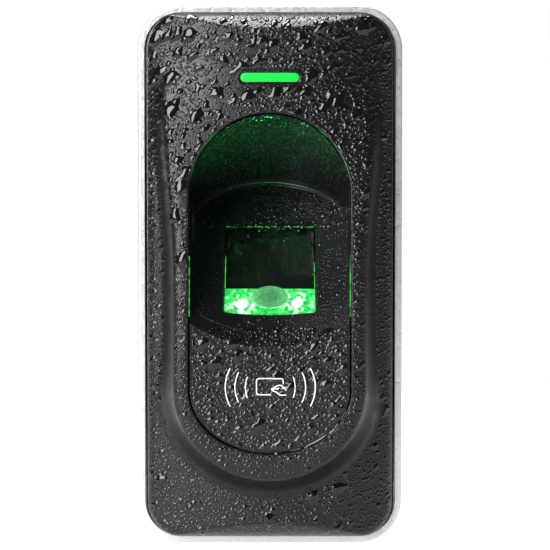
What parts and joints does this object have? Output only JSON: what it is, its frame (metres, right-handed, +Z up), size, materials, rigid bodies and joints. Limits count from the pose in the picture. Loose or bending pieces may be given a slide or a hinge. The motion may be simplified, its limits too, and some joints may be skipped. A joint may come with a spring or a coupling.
{
  "type": "rfid card reader",
  "caption": "Slim wall-mounted fingerprint and RFID card reader: domed black face with a raised finger tray, silver bezel, rear cover and steel wall plate.",
  "frame": {"origin": "centre of the wall plate's back face, on the wall", "axes": "+Z up, +X to the right of someone who faces the reader, +Y into the wall, so the reader stands out towards -Y"},
  "size_m": [0.05, 0.0369, 0.102],
  "materials": {
    "case_black": "fine-grained satin black ABS",
    "rear_black": "textured black ABS",
    "tray_black": "smooth black ABS",
    "bezel_silver": "pale satin silver",
    "plate_steel": "zinc-plated sheet",
    "screw_steel": "zinc-plated",
    "screw_black": "black oxide",
    "seal_rubber": "soft silicone",
    "light_green": "translucent, lit green",
    "prism_glass": "clear polished",
    "lens_glass": "clear polished",
    "housing_black": "matt black",
    "led_body": "clear epoxy",
    "board_green": "solder mask",
    "chip_black": "moulded epoxy",
    "copper": "enamelled copper",
    "gold_pins": "gold-plated",
    "can_silver": "bright can",
    "ribbon_white": "flat flexible cable",
    "socket_white": "nylon",
    "spring_steel": "drawn wire"
  },
  "bodies": {
    "wall_plate": {"back_plate": "plate_steel"},
    "security_screw": {"security_screw": "screw_steel"},
    "tamper_plunger": {"tamper_plunger": "socket_white"},
    "reader": {"rear_cover": "rear_black", "case_seal": "seal_rubber", "bezel_frame": "bezel_silver", "front_cover": "case_black", "finger_tray": "tray_black", "sensor_prism": "prism_glass", "sensor_gasket": "seal_rubber", "sensor_housing": "housing_black", "sensor_board": "board_green", "light_guide": "light_green", "sensor_leds": "led_body", "lens_barrel": "housing_black", "sensor_lens": "lens_glass", "image_sensor": "chip_black", "sensor_ribbon": "ribbon_white", "status_ribbon": "ribbon_white", "ribbon_sockets": "socket_white", "antenna_board": "board_green", "antenna_coil": "copper", "antenna_lead": "seal_rubber", "main_board": "board_green", "processor": "chip_black", "memory_chip": "chip_black", "radio_chip": "chip_black", "crystal": "can_silver", "capacitors": "can_silver", "buzzer": "chip_black", "connector_header": "socket_white", "connector_pins": "gold_pins", "cable_seal": "seal_rubber", "status_board": "board_green", "status_leds": "led_body", "status_light": "light_green", "tamper_switch": "chip_black", "tamper_spring": "spring_steel", "case_screws": "screw_black", "board_screws": "screw_steel", "tray_screws": "screw_steel"}
  },
  "joints": [
    {"name": "reader_lift", "type": "slide", "parent": "wall_plate", "child": "reader", "axis": [0, 0, 1], "range_m": [0, 0.005]},
    {"name": "security_screw_turn_out", "type": "slide", "parent": "wall_plate", "child": "security_screw", "axis": [0, 0, -1], "range_m": [0, 0.0045]},
    {"name": "tamper_release", "type": "slide", "parent": "reader", "child": "tamper_plunger", "axis": [0, 1, 0], "range_m": [0, 0.0015], "stiffness_N_per_m": 60, "springref_m": 0.003, "deforming": ["tamper_spring"]}
  ]
}
